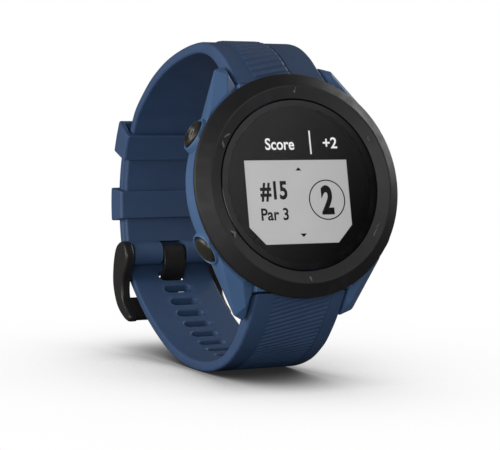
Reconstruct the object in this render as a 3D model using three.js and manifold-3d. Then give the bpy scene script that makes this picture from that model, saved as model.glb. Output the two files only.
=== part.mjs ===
// Wrist-worn golf GPS watch, buckled, in millimetres.
// +X points to 3 o'clock, +Z to 12 o'clock, +Y from the face through the case towards the wrist.
// The origin is the centre of the flat outer face of the case back.
import * as THREE from 'three';
import { mergeVertices } from 'three/addons/utils/BufferGeometryUtils.js';
import { ConvexGeometry } from 'three/addons/geometries/ConvexGeometry.js';
import Module from 'manifold-3d';

const wasm = await Module();
wasm.setup();

// ---------------------------------------------------------------- driving dimensions
const BEZEL_R = 21.85;
const BEZEL_FRONT_Y = -13.3;
const BEZEL_CREST_R = 18.95;
const BEZEL_BORE_R = 16.8;
const BEZEL_BORE_Y = -12.35;
const TICK_R = 18.02;
const TICK_HALF_WIDTH = 0.17;
const TICK_HALF_LENGTH = 0.72;
const TICK_DEPTH = 0.12;
const LENS_R = 16.65;
const LENS_FRONT_Y = -12.3;
const CASE_R = 21.4;
const CASE_FRONT_Y = -10.55;
const CASE_BACK_Y = -1.6;
const CAVITY_R = 17.4;
const BACK_SEAT_R = 18.4;
const HALF_LUG_GAP = 10.4;
const STRAP_WIDTH = 19.5;
const STRAP_THICK = 2.1;
const STRAP_END_THICK = 4.2;
const STRAP_SEAT_Z = 20.0;
const STRAP_SEAT_GAP = 0.3;

const BAR_Y = -4.4;
const BAR_Z = 22.2;
const BAR_TIP_R = 0.45;
const BAR_TUBE_R = 0.85;
const BAR_TUBE_BORE_R = 0.58;
const BAR_TUBE_HALF = 9.5;
const LEVER_X = 6.4;
const RELEASE_TRAVEL = 1.2;
const SPRING_TURNS = 5;
const SPRING_START_X = -8.0;
const SPRING_LENGTH = 11.2;
const SPRING_COIL_R = 0.34;
const SPRING_WIRE_R = 0.11;

const BUTTON_Y = -7.4;
const BUTTON_R = 2.65;
const BUTTON_ANGLES = { upper_right: 29, upper_left: 151, lower_left: 211, lower_right: 329 };
const BUTTON_FACE = 23.0;
const BUTTON_UNDERSIDE = 20.4;
const BUTTON_STEM_R = 0.9;
const BUTTON_GAP = 0.2;
const BOSS_R = 3.15;
const BOSS_TOP = 22.3;
const SWITCH_HALF_WIDTH = 1.8;
const SWITCH_HALF_DEPTH = 0.6;

const SCREW_ANGLES = [62, 118, 242, 298];
const SCREW_RING_R = 15.6;
const SCREW_SHAFT_R = 0.6;
const PORT_Z = -11.6;
const CONTACT_PLACES = [-2.25, -0.75, 0.75, 2.25];

const REAR_CENTRE_Y = 26.0;
const REAR_CENTRE_Z = 1.0;
const REAR_INNER_R = 30.0;
const LAYER_GAP = 0.2;
const KEEPER_WALL = 0.9;
const KEEPER_HALF_WIDTH = 11.3;
const KEEPER_SIDE_GAP = 0.35;
const KEEPER_HALF_DEG = 6.1;
const KEEPER_FREE_DEG = 37.1;
const KEEPER_FIXED_DEG = 10.8;
const TAIL_END_DEG = 40;

const PIN_Y = 54.2;
const PIN_Z = -4.7;
const PIN_R = 0.75;
const PIN_GAP = 0.2;
const ROLL_R = 2.6;
const FRAME_ARM_IN = 10.3;
const FRAME_ARM_OUT = 12.5;
const PRONG_WIDTH = 5.2;
const PRONG_THICK = 0.9;

const PRONG_SLOT_FROM_TAIL = 37;
const SLOT_COUNT = 10;
const SLOT_PITCH = 4.5;
const SLOT_WIDTH = 6.5;
const SLOT_LENGTH = 2.3;

const FACETS = 60;

// ---------------------------------------------------------------- materials
const paint = (color, roughness, metalness = 0) => () =>
  new THREE.MeshStandardMaterial({ color, roughness, metalness });
const bluePolymer = paint(0x33486d, 0.5);
const blueSilicone = paint(0x2f4468, 0.62);
const blackPolymer = paint(0x222222, 0.42);
const blackMetal = paint(0x26262a, 0.35, 0.8);
const lensGlass = paint(0x0c0c0e, 0.06);
const displayGlass = paint(0x9a9a9a, 0.4);
const blackRubber = paint(0x141414, 0.8);
const steel = paint(0xb8b8ba, 0.3, 0.9);
const gold = paint(0xc9a250, 0.3, 0.9);
const greenBoard = paint(0x1f5a3c, 0.5);
const ceramic = paint(0xd8cfb8, 0.5);
const foil = paint(0x9aa0a6, 0.35, 0.6);

// ---------------------------------------------------------------- solids and placing
const group = new THREE.Group();

function solidOf(geometry) {
  const bare = geometry.index ? geometry.toNonIndexed() : geometry.clone();
  bare.deleteAttribute('normal');
  bare.deleteAttribute('uv');
  const merged = mergeVertices(bare, 1e-4);
  const corners = merged.index.array;
  const kept = [];
  for (let i = 0; i < corners.length; i += 3) {
    const [a, b, c] = [corners[i], corners[i + 1], corners[i + 2]];
    if (a !== b && b !== c && a !== c) kept.push(a, b, c);
  }
  return new wasm.Manifold(new wasm.Mesh({
    numProp: 3,
    vertProperties: new Float32Array(merged.attributes.position.array),
    triVerts: new Uint32Array(kept),
  }));
}

function geometryOf(solid) {
  const mesh = solid.getMesh();
  const geometry = new THREE.BufferGeometry();
  geometry.setAttribute('position', new THREE.BufferAttribute(mesh.vertProperties, 3));
  geometry.setIndex(new THREE.BufferAttribute(mesh.triVerts, 1));
  geometry.computeVertexNormals();
  return geometry;
}

const joined = (parts) => parts.reduce((whole, part) => whole.add(part));
const cut = (whole, tools) => tools.reduce((rest, tool) => rest.subtract(tool), whole);

function add(name, shape, material, parent = group) {
  const geometry = shape.isBufferGeometry ? shape : geometryOf(shape);
  const mesh = new THREE.Mesh(geometry, material());
  mesh.name = name;
  parent.add(mesh);
  return mesh;
}

// A closed profile of [radius, y] pairs turned about the Y axis, wound so that its faces point out.
function revolve(profile, segments = FACETS) {
  const points = profile.map(([r, y]) => new THREE.Vector2(r, y));
  if (THREE.ShapeUtils.area(points) < 0) points.reverse();
  if (points[0].x > 0) points.push(points[0].clone());
  return new THREE.LatheGeometry(points, segments);
}

// A shape drawn in the Y-Z plane, extruded along X from x0 to x1.
function extrudeX(shape, x0, x1, curveSegments = 12) {
  const geometry = new THREE.ExtrudeGeometry(shape, { depth: x1 - x0, bevelEnabled: false, curveSegments });
  const turn = new THREE.Matrix4().set(0, 0, 1, x0, 1, 0, 0, 0, 0, 1, 0, 0, 0, 0, 0, 1);
  return geometry.applyMatrix4(turn);
}

// A shape drawn in the X-Z plane, extruded along Y from y0 to y1.
function extrudeY(shape, y0, y1, curveSegments = 8) {
  const geometry = new THREE.ExtrudeGeometry(shape, { depth: y1 - y0, bevelEnabled: false, curveSegments });
  return geometry.rotateX(Math.PI / 2).translate(0, y1, 0);
}

const boxBetween = (low, high) => new THREE.BoxGeometry(high[0] - low[0], high[1] - low[1], high[2] - low[2])
  .translate((low[0] + high[0]) / 2, (low[1] + high[1]) / 2, (low[2] + high[2]) / 2);

// A round rod along X.
const rodX = (radius, x0, x1, y, z, segments = 12) =>
  new THREE.CylinderGeometry(radius, radius, x1 - x0, segments)
    .rotateZ(-Math.PI / 2)
    .translate((x0 + x1) / 2, y, z);

// A round rod along Y.
const rodY = (radius, y0, y1, x, z, segments = 16) =>
  new THREE.CylinderGeometry(radius, radius, y1 - y0, segments).translate(x, (y0 + y1) / 2, z);

const radians = THREE.MathUtils.degToRad;

function onRing(radius, degrees) {
  return [radius * Math.cos(radians(degrees)), radius * Math.sin(radians(degrees))];
}

function roundedRect(halfX, halfZ, corner, centreZ = 0) {
  const shape = new THREE.Shape();
  shape.absarc(halfX - corner, centreZ + halfZ - corner, corner, 0, Math.PI / 2);
  shape.absarc(-halfX + corner, centreZ + halfZ - corner, corner, Math.PI / 2, Math.PI);
  shape.absarc(-halfX + corner, centreZ - halfZ + corner, corner, Math.PI, Math.PI * 1.5);
  shape.absarc(halfX - corner, centreZ - halfZ + corner, corner, Math.PI * 1.5, Math.PI * 2);
  shape.closePath();
  return shape;
}

// The frame of one push button: local +Y runs outwards along the button's axis, local +Z along +Y.
function buttonFrame(degrees) {
  const frame = new THREE.Group();
  const outwards = new THREE.Vector3(Math.cos(radians(degrees)), 0, Math.sin(radians(degrees)));
  const sideways = new THREE.Vector3(-outwards.z, 0, outwards.x);
  const backwards = new THREE.Vector3(0, 1, 0);
  frame.position.set(0, BUTTON_Y, 0);
  frame.quaternion.setFromRotationMatrix(new THREE.Matrix4().makeBasis(sideways, outwards, backwards));
  frame.updateMatrix();
  return frame;
}

// ---------------------------------------------------------------- case body with lugs
const CAVITY_FRONT_Y = -9.4;
const LENS_SEAT_R = 15.9;
const BACK_LEDGE_Y = -3.6;
const WALL_Z = 18.5;

// One lug: an outer side face, a wide chamfer towards the front and a narrow facet beside the strap.
function lug(sideX, sideZ) {
  const inner = HALF_LUG_GAP;
  const corners = [
    [inner, -10.4, 15.5], [inner, -9.0, 19.5], [inner, -5.0, 24.0], [inner, -3.4, 25.0], [inner, -1.9, 23.6],
    [inner, -1.9, 15.5], [11.4, -7.5, 22.6], [13.0, -10.4, 18.3], [17.0, -10.4, 14.5], [18.9, -9.6, 10.0], [17.6, -2.6, 9.0],
    [12.8, -4.8, 24.0], [11.8, -2.2, 23.7], [15.4, -2.2, 13.5],
  ];
  const points = corners.map(([x, y, z]) => new THREE.Vector3(x * sideX, y, z * sideZ));
  return solidOf(new ConvexGeometry(points));
}

// The raised collar that a button sinks into.
function buttonBoss(angle) {
  const profile = [[0, 18.2], [BOSS_R + 1.6, 18.2], [BOSS_R, BOSS_TOP], [0, BOSS_TOP]];
  return solidOf(revolve(profile, 28).applyMatrix4(buttonFrame(angle).matrix));
}

function caseBody() {
  const ring = solidOf(revolve([
    [CASE_R, CASE_FRONT_Y], [CASE_R, -6.1], [20.0, -3.4], [19.4, CASE_BACK_Y],
    [BACK_SEAT_R, CASE_BACK_Y], [BACK_SEAT_R, BACK_LEDGE_Y], [CAVITY_R, BACK_LEDGE_Y],
    [CAVITY_R, CAVITY_FRONT_Y], [LENS_SEAT_R, CAVITY_FRONT_Y], [LENS_SEAT_R, CASE_FRONT_Y],
  ]));
  const cavity = solidOf(rodY(CAVITY_R, CAVITY_FRONT_Y, BACK_LEDGE_Y, 0, 0, FACETS));
  const front = solidOf(rodY(BEZEL_R + 4, -20, CASE_FRONT_Y, 0, 0, FACETS));
  const walls = [1, -1].map((side) => solidOf(boxBetween(
    [-HALF_LUG_GAP, -10.3, Math.min(side * WALL_Z, side * STRAP_SEAT_Z)],
    [HALF_LUG_GAP, -2.2, Math.max(side * WALL_Z, side * STRAP_SEAT_Z)])));
  const collars = Object.values(BUTTON_ANGLES).map((angle) => buttonBoss(angle).subtract(front));
  const lugs = [[1, 1], [-1, 1], [-1, -1], [1, -1]].map(([sx, sz]) => lug(sx, sz));
  const shell = [...lugs, ...walls, ...collars].map((piece) => piece.subtract(cavity));
  const bosses = SCREW_ANGLES.map((angle) => {
    const [x, z] = onRing(SCREW_RING_R, angle);
    return solidOf(rodY(2.2, CAVITY_FRONT_Y - 0.2, BACK_LEDGE_Y, x, z, 10));
  });
  const screwHoles = SCREW_ANGLES.map((angle) => {
    const [x, z] = onRing(SCREW_RING_R, angle);
    return solidOf(rodY(SCREW_SHAFT_R + 0.15, -8.4, BACK_LEDGE_Y + 1, x, z, 8));
  });
  const strapSeats = [1, -1].map((side) => {
    const near = side * STRAP_SEAT_Z;
    const far = side * (STRAP_SEAT_Z + 8);
    return solidOf(boxBetween(
      [-HALF_LUG_GAP, -9.3, Math.min(near, far)], [HALF_LUG_GAP, 1, Math.max(near, far)]));
  });
  const barHoles = [1, -1].map((side) => solidOf(rodX(BAR_TIP_R + 0.15, -12.4, 12.4, BAR_Y, side * BAR_Z)));
  const buttonBores = Object.values(BUTTON_ANGLES).map((angle) => {
    const bore = revolve([
      [0, 14], [BUTTON_STEM_R + BUTTON_GAP, 14], [BUTTON_STEM_R + BUTTON_GAP, 18], [1.6, 18], [1.6, 19],
      [BUTTON_STEM_R + BUTTON_GAP, 19], [BUTTON_STEM_R + BUTTON_GAP, 19.6], [BUTTON_R + BUTTON_GAP, 19.6],
      [BUTTON_R + BUTTON_GAP + 0.05, 24], [0, 24],
    ], 16);
    return solidOf(bore.applyMatrix4(buttonFrame(angle).matrix));
  });
  const whole = joined([ring, ...shell, ...bosses]);
  return cut(whole, [...screwHoles, ...strapSeats, ...barHoles, ...buttonBores]);
}

add('case_body', caseBody(), bluePolymer);

// ---------------------------------------------------------------- bezel, lens and display stack
function bezel() {
  const ring = revolve([
    [BEZEL_BORE_R, -10.65], [21.6, -10.65], [BEZEL_R, -10.9], [BEZEL_R, -11.4], [21.7, -11.65],
    [19.25, BEZEL_FRONT_Y], [BEZEL_CREST_R, BEZEL_FRONT_Y], [BEZEL_BORE_R, BEZEL_BORE_Y],
  ], 72);
  const slope = Math.atan2(BEZEL_BORE_Y - BEZEL_FRONT_Y, BEZEL_CREST_R - BEZEL_BORE_R);
  const tickY = BEZEL_BORE_Y - (TICK_R - BEZEL_BORE_R) * Math.tan(slope);
  const ticks = [1, -1].map((side) => solidOf(boxBetween(
    [-TICK_HALF_WIDTH, -1, -TICK_HALF_LENGTH], [TICK_HALF_WIDTH, TICK_DEPTH, TICK_HALF_LENGTH])
    .rotateX(-side * slope).translate(0, tickY, side * TICK_R)));
  return cut(solidOf(ring), ticks);
}

add('bezel', bezel(), blackPolymer);
add('lens', revolve([
  [0, -11.2], [LENS_R, -11.2], [LENS_R, -12.1], [LENS_R - 0.2, LENS_FRONT_Y], [0, LENS_FRONT_Y],
], 48), lensGlass);
add('lens_gasket', revolve([
  [LENS_SEAT_R + 0.05, -10.7], [LENS_R - 0.1, -10.7], [LENS_R - 0.1, -11.1], [LENS_SEAT_R + 0.05, -11.1],
], 32), blackRubber);
add('display_panel', revolve([[0, -9.85], [15.4, -9.85], [15.4, -11.05], [0, -11.05]], 36), displayGlass);
add('display_backlight', revolve([[0, -9.3], [13.1, -9.3], [13.1, -9.7], [0, -9.7]], 32), ceramic);

// ---------------------------------------------------------------- electronics in the cavity
function mainBoard() {
  const disc = solidOf(revolve([[0, -9.1], [14.9, -9.1], [14.9, -8.4], [0, -8.4]], 32));
  const bossClearance = SCREW_ANGLES.map((angle) => {
    const [x, z] = onRing(SCREW_RING_R, angle);
    return solidOf(rodY(2.6, -9.6, -8, x, z, 10));
  });
  const chipPlaces = [[-4.5, 4.5, 3.2, 3.2], [4.2, 3.6, 2.4, 2.4], [0.5, -4.6, 4.0, 2.0]];
  const chips = chipPlaces.map(([x, z, halfX, halfZ]) =>
    solidOf(boxBetween([x - halfX, -8.6, z - halfZ], [x + halfX, -7.4, z + halfZ])));
  return cut(joined([disc, ...chips]), bossClearance);
}

function gpsAntenna() {
  const shape = new THREE.Shape();
  shape.absarc(0, 0, 16.6, radians(72), radians(108), false);
  shape.absarc(0, 0, 13.2, radians(108), radians(72), true);
  shape.closePath();
  return extrudeY(shape, -7.6, -4.6);
}

add('main_board', mainBoard(), greenBoard);
add('gps_antenna', gpsAntenna(), ceramic);
add('battery_tray', extrudeY(roundedRect(10.2, 9.9, 2.2, 0.6), -7.2, -6.7), blackPolymer);
add('battery', extrudeY(roundedRect(9.6, 9.3, 1.8, 0.6), -6.5, -1.9), foil);

// ---------------------------------------------------------------- case back, gasket, screws, charging socket
function caseBack() {
  const plate = solidOf(revolve([
    [0, -1.6], [13.2, -1.6], [13.2, -3.0], [BACK_SEAT_R - 0.2, -3.0], [BACK_SEAT_R - 0.2, -1.5],
    [19.2, -1.5], [19.2, -0.9], [18.1, 0], [0, 0],
  ]));
  const holes = SCREW_ANGLES.flatMap((angle) => {
    const [x, z] = onRing(SCREW_RING_R, angle);
    return [
      solidOf(rodY(SCREW_SHAFT_R + 0.15, -4, 1, x, z, 8)),
      solidOf(rodY(1.4, -0.75, 1, x, z, 12)),
    ];
  });
  const port = solidOf(extrudeY(roundedRect(4.2, 2.2, 1.2, PORT_Z), -4, 1, 4));
  return cut(plate, [...holes, port]);
}

function chargeSocket() {
  const block = solidOf(extrudeY(roundedRect(4.05, 2.05, 1.1, PORT_Z), -4.6, -0.3, 4));
  const recess = solidOf(extrudeY(roundedRect(3.4, 1.4, 0.8, PORT_Z), -1.5, 1, 4));
  const holes = CONTACT_PLACES.map((x) => solidOf(rodY(0.5, -5, 0, x, PORT_Z, 8)));
  return cut(block, [recess, ...holes]);
}

add('case_back', caseBack(), blackPolymer);
add('case_back_gasket', revolve([
  [17.55, -3.5], [18.25, -3.5], [18.25, -3.1], [17.55, -3.1],
], 32), blackRubber);
SCREW_ANGLES.forEach((angle, index) => {
  const [x, z] = onRing(SCREW_RING_R, angle);
  const screw = add(`case_screw_${index + 1}`, revolve([
    [0, -7.0], [SCREW_SHAFT_R, -7.0], [SCREW_SHAFT_R, -0.65],
    [1.2, -0.65], [1.2, -0.3], [0.9, -0.12], [0, -0.12],
  ], 10), blackMetal);
  screw.position.set(x, 0, z);
});
add('charge_socket', chargeSocket(), blackRubber);
CONTACT_PLACES.forEach((x, index) => {
  const contact = add(`charge_contact_${index + 1}`, revolve([
    [0, -4.9], [0.38, -4.9], [0.38, -1.1], [0.25, -0.95], [0, -0.95],
  ], 8), gold);
  contact.position.set(x, 0, PORT_Z);
});

// ---------------------------------------------------------------- push buttons
const capProfile = [
  [0, 15.9], [BUTTON_STEM_R, 15.9], [BUTTON_STEM_R, BUTTON_UNDERSIDE], [BUTTON_R, BUTTON_UNDERSIDE],
  [BUTTON_R, BUTTON_FACE - 0.7],
  [BUTTON_R - 0.35, BUTTON_FACE - 0.25], [BUTTON_R - 1.0, BUTTON_FACE - 0.05], [0, BUTTON_FACE],
];

for (const [place, angle] of Object.entries(BUTTON_ANGLES)) {
  const frame = buttonFrame(angle);
  group.add(frame);
  add(`button_${place}`, revolve(capProfile, 20), blackMetal, frame);
  add(`button_seal_${place}`, revolve([
    [1.0, 18.2], [1.45, 18.2], [1.52, 18.5], [1.45, 18.8], [1.0, 18.8], [0.96, 18.5],
  ], 12), blackRubber, frame);
  add(`button_clip_${place}`, revolve([
    [0.96, 16.4], [1.55, 16.4], [1.55, 16.7], [0.96, 16.7],
  ], 12), steel, frame);
  add(`button_switch_${place}`, boxBetween(
    [-SWITCH_HALF_WIDTH, 13.3, -SWITCH_HALF_DEPTH], [SWITCH_HALF_WIDTH, 15.2, SWITCH_HALF_DEPTH],
  ), ceramic, frame);
}

// ---------------------------------------------------------------- spring bars with quick-release levers
function barSpring(side) {
  const steps = SPRING_TURNS * 7;
  const points = [];
  for (let i = 0; i <= steps; i += 1) {
    const x = SPRING_START_X + (SPRING_LENGTH * i) / steps;
    const [y, z] = onRing(SPRING_COIL_R, (i / steps) * SPRING_TURNS * 360);
    points.push(new THREE.Vector3(x, y, z));
  }
  const wire = new THREE.Shape();
  wire.absarc(0, 0, SPRING_WIRE_R, 0, Math.PI * 2, false);
  return new THREE.ExtrudeGeometry(wire, {
    extrudePath: new THREE.CatmullRomCurve3(points), steps, bevelEnabled: false, curveSegments: 2,
  }).translate(0, BAR_Y, side * BAR_Z);
}

function barTube(z) {
  const body = joined([
    solidOf(rodX(BAR_TUBE_R, -BAR_TUBE_HALF, BAR_TUBE_HALF, BAR_Y, z)),
    solidOf(rodX(BAR_TIP_R, -11.9, -BAR_TUBE_HALF + 0.5, BAR_Y, z)),
  ]);
  const bore = solidOf(rodX(BAR_TUBE_BORE_R, -8.4, BAR_TUBE_HALF + 1, BAR_Y, z));
  const slot = solidOf(boxBetween(
    [LEVER_X - RELEASE_TRAVEL - 0.9, BAR_Y, z - 0.62], [LEVER_X + 0.9, BAR_Y + 2, z + 0.62]));
  return cut(body, [bore, slot]);
}

function barRelease(z) {
  return joined([
    solidOf(rodX(BAR_TIP_R, 4.8, 11.9, BAR_Y, z, 10)),
    solidOf(rodY(0.42, BAR_Y, BAR_Y + 2.2, LEVER_X, z, 10)),
    solidOf(rodY(0.75, BAR_Y + 1.9, BAR_Y + 2.9, LEVER_X, z, 12)),
  ]);
}

for (const [place, side] of [['upper', 1], ['lower', -1]]) {
  add(`spring_bar_tube_${place}`, barTube(side * BAR_Z), steel);
  add(`spring_bar_release_${place}`, barRelease(side * BAR_Z), steel);
  add(`spring_bar_spring_${place}`, barSpring(side), steel);
}

// ---------------------------------------------------------------- straps
const STRAP_HALF = STRAP_WIDTH / 2;
const TAIL_INNER_R = REAR_INNER_R + STRAP_THICK + LAYER_GAP;

// Points of the rear arc, as [y, z], from one angle to another.
function rearArc(radius, fromDeg, toDeg, steps) {
  return Array.from({ length: steps + 1 }, (_, i) => {
    const [y, z] = onRing(radius, fromDeg + ((toDeg - fromDeg) * i) / steps);
    return [REAR_CENTRE_Y + y, REAR_CENTRE_Z + z];
  });
}

// A band whose outer face follows the points and whose thickness falls from the case end.
function strapBand(outerPoints, samples, taperLength) {
  const curve = new THREE.SplineCurve(outerPoints.map(([y, z]) => new THREE.Vector2(y, z)));
  const length = curve.getLength();
  const outer = [];
  const inner = [];
  for (let i = 0; i <= samples; i += 1) {
    const point = curve.getPointAt(i / samples);
    const along = curve.getTangentAt(i / samples);
    const turn = Math.sign(along.x * -point.y + along.y * (point.x - REAR_CENTRE_Y)) || 1;
    const inwards = new THREE.Vector2(-along.y * turn, along.x * turn);
    const nearCase = Math.max(0, 1 - (length * i) / samples / taperLength);
    const thick = STRAP_THICK + (STRAP_END_THICK - STRAP_THICK) * nearCase * nearCase * (3 - 2 * nearCase);
    outer.push(point);
    inner.push(point.clone().addScaledVector(inwards, thick));
  }
  return { curve, length, shape: new THREE.Shape([...outer, ...inner.reverse()]) };
}

const upperOuter = [
  [-9.0, 20.3], [-6.0, 23.6], [-2.4, 27.5], [1.6, 30.4], [6.4, 32.3], [12.0, 33.2], [18.5, 33.5],
  [25.0, 33.2], [31.2, 32.2], [37.4, 30.4],
  ...rearArc(REAR_INNER_R + STRAP_THICK, 54, -5, 7), [56.85, -4.4],
];
const lowerOuter = [
  [-9.0, -20.3], [-5.1, -24.7], [-1.1, -28.2], [2.8, -30.7], [9.0, -32.9], [17.6, -33.5],
  [27.4, -31.8], [37.2, -27.8], [47.1, -20.9], [53.9, -14.1], [58.7, -7.7],
  ...rearArc(TAIL_INNER_R + STRAP_THICK, -6, TAIL_END_DEG, 6),
];

// Everything between the lug seat plane and the bar is filled so that the end fits the lugs.
function strapEnd(side) {
  const block = new THREE.Shape([
    [-8.95, 20.3], [-7.6, 21.8], [-4.6, 25.2], [-1.6, 25.2], [-1.2, 24.2], [-1.3, 20.3],
  ].map(([y, z]) => new THREE.Vector2(y, z * side)));
  return solidOf(extrudeX(block, -STRAP_HALF, STRAP_HALF));
}

// The space that the case takes from the end of a strap.
function caseSpace(side) {
  const near = side * (STRAP_SEAT_Z + STRAP_SEAT_GAP);
  return solidOf(boxBetween([-15, -14, Math.min(0, near)], [15, 4, Math.max(0, near)]));
}

function barTunnel(side) {
  const z = side * BAR_Z;
  return [
    solidOf(rodX(BAR_TUBE_R + 0.15, -STRAP_HALF - 1, STRAP_HALF + 1, BAR_Y, z, 14)),
    solidOf(boxBetween([LEVER_X - RELEASE_TRAVEL - 1.1, BAR_Y, z - 1.05], [LEVER_X + 1.1, 2, z + 1.05])),
  ];
}

function strapUpper() {
  const { shape } = strapBand(upperOuter, 44, 26);
  const band = solidOf(extrudeX(shape, -STRAP_HALF, STRAP_HALF));
  const roll = solidOf(rodX(ROLL_R, -STRAP_HALF, STRAP_HALF, PIN_Y, PIN_Z, 24));
  const notch = solidOf(boxBetween([-3.0, PIN_Y - 6, PIN_Z - 4], [3.0, PIN_Y + 6, PIN_Z + 2.9]));
  const pinBore = solidOf(rodX(PIN_R + PIN_GAP, -STRAP_HALF - 1, STRAP_HALF + 1, PIN_Y, PIN_Z, 16));
  return cut(joined([band, roll, strapEnd(1)]), [notch, pinBore, caseSpace(1), ...barTunnel(1)]);
}

function strapLower() {
  const { curve, length, shape } = strapBand(lowerOuter, 48, 26);
  const band = solidOf(extrudeX(shape, -STRAP_HALF, STRAP_HALF));
  const firstSlot = length - PRONG_SLOT_FROM_TAIL;
  const slots = Array.from({ length: SLOT_COUNT }, (_, i) => {
    const at = (firstSlot - i * SLOT_PITCH) / length;
    const point = curve.getPointAt(at);
    const along = curve.getTangentAt(at);
    const outline = roundedRect(SLOT_WIDTH / 2, SLOT_LENGTH / 2, SLOT_LENGTH / 2 - 0.01);
    const tool = extrudeY(outline, -4, 2, 2);
    tool.rotateX(Math.atan2(along.y, along.x) - Math.PI / 2).translate(0, point.x, point.y);
    return solidOf(tool);
  });
  return cut(joined([band, strapEnd(-1)]), [...slots, caseSpace(-1), ...barTunnel(-1)]);
}

add('strap_upper', strapUpper(), blueSilicone);
add('strap_lower', strapLower(), blueSilicone);

// ---------------------------------------------------------------- keepers
function keeper(midDeg) {
  const sector = (innerR, outerR, halfDeg) => {
    const shape = new THREE.Shape();
    const [start, end] = [radians(midDeg - halfDeg), radians(midDeg + halfDeg)];
    shape.absarc(REAR_CENTRE_Y, REAR_CENTRE_Z, outerR, start, end, false);
    shape.absarc(REAR_CENTRE_Y, REAR_CENTRE_Z, innerR, end, start, true);
    shape.closePath();
    return shape;
  };
  const innerR = REAR_INNER_R - LAYER_GAP;
  const outerR = TAIL_INNER_R + STRAP_THICK + LAYER_GAP;
  const outline = sector(innerR - KEEPER_WALL, outerR + KEEPER_WALL, KEEPER_HALF_DEG);
  const opening = sector(innerR, outerR, KEEPER_HALF_DEG + 2);
  const holeHalf = STRAP_HALF + KEEPER_SIDE_GAP;
  const whole = solidOf(extrudeX(outline, -KEEPER_HALF_WIDTH, KEEPER_HALF_WIDTH, 6));
  return whole.subtract(solidOf(extrudeX(opening, -holeHalf, holeHalf, 10)));
}

add('keeper_free', keeper(KEEPER_FREE_DEG), blueSilicone);
add('keeper_fixed', keeper(KEEPER_FIXED_DEG), blueSilicone);

// ---------------------------------------------------------------- buckle frame, pin and prong
const flatPoints = (pairs) => pairs.map(([y, z]) => new THREE.Vector2(y, z));

function buckleFrame() {
  const side = new THREE.Shape();
  side.moveTo(51.6, -2.6);
  side.splineThru(flatPoints([
    [54.2, -1.9], [57.0, -3.0], [59.2, -6.6], [60.3, -11.0], [58.9, -15.6], [55.4, -18.9], [52.2, -20.2],
  ]));
  side.lineTo(51.0, -18.9);
  side.splineThru(flatPoints([[53.2, -16.9], [54.9, -14.2], [54.2, -10.9], [51.8, -8.2], [50.4, -5.4]]));
  side.closePath();
  const arms = [-1, 1].map((hand) => {
    const near = hand * FRAME_ARM_IN;
    const far = hand * FRAME_ARM_OUT;
    return solidOf(extrudeX(side, Math.min(near, far), Math.max(near, far), 3));
  });
  const barSection = new THREE.Shape(flatPoints([
    [55.0, -14.4], [56.8, -14.9], [57.3, -16.5], [55.3, -18.9], [52.2, -20.1], [51.0, -18.9], [53.2, -16.9],
  ]));
  const bar = solidOf(extrudeX(barSection, -FRAME_ARM_OUT + 0.5, FRAME_ARM_OUT - 0.5));
  const pinHole = solidOf(rodX(PIN_R + PIN_GAP, -11.9, 11.9, PIN_Y, PIN_Z, 16));
  return cut(joined([...arms, bar]), [pinHole]);
}

function prong() {
  const half = PRONG_WIDTH / 2;
  const path = new THREE.SplineCurve(flatPoints([
    [52.6, -4.6], [52.8, -7.3], [54.2, -9.3], [56.8, -11.3], [58.3, -13.4], [58.2, -17.2],
  ]));
  const left = [];
  const right = [];
  const steps = 14;
  for (let i = 0; i <= steps; i += 1) {
    const point = path.getPointAt(i / steps);
    const along = path.getTangentAt(i / steps);
    const across = new THREE.Vector2(-along.y, along.x);
    left.push(point.clone().addScaledVector(across, PRONG_THICK / 2));
    right.push(point.clone().addScaledVector(across, -PRONG_THICK / 2));
  }
  const blade = solidOf(extrudeX(new THREE.Shape([...left, ...right.reverse()]), -half, half));
  const eye = solidOf(rodX(2.0, -half, half, PIN_Y, PIN_Z, 20));
  return cut(joined([blade, eye]), [solidOf(rodX(PIN_R + PIN_GAP, -half - 1, half + 1, PIN_Y, PIN_Z, 16))]);
}

add('buckle_frame', buckleFrame(), blackMetal);
add('buckle_prong', prong(), blackMetal);
add('buckle_pin', rodX(PIN_R, -11.6, 11.6, PIN_Y, PIN_Z, 16), steel);

export default group;
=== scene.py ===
"""Golf GPS watch: the fine surfaces, materials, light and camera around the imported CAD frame.

Lengths in this script are millimetres and are scaled once, where a mesh is made.
+X is 3 o'clock, +Z is 12 o'clock and +Y runs from the face through the case towards the wrist.
"""

import math

import bmesh
import bpy
import numpy as np
from mathutils import Matrix, Vector

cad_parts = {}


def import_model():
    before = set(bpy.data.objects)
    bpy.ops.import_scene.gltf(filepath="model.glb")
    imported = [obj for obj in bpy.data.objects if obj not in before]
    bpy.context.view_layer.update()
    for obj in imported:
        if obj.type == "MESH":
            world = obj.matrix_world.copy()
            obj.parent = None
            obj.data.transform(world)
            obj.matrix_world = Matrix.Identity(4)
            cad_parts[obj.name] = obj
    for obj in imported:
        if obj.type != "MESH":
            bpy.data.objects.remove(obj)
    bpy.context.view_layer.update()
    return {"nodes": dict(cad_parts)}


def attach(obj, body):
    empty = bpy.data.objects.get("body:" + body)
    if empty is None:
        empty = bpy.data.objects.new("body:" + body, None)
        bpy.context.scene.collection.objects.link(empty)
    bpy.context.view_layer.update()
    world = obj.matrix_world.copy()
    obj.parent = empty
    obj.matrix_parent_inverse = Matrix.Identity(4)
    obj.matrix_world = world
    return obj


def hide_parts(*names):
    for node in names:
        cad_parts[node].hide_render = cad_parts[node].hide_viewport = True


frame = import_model()

MM = 0.001
AXIS_R = 1e-6
NEARLY_STRAIGHT = math.radians(89.5)

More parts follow.
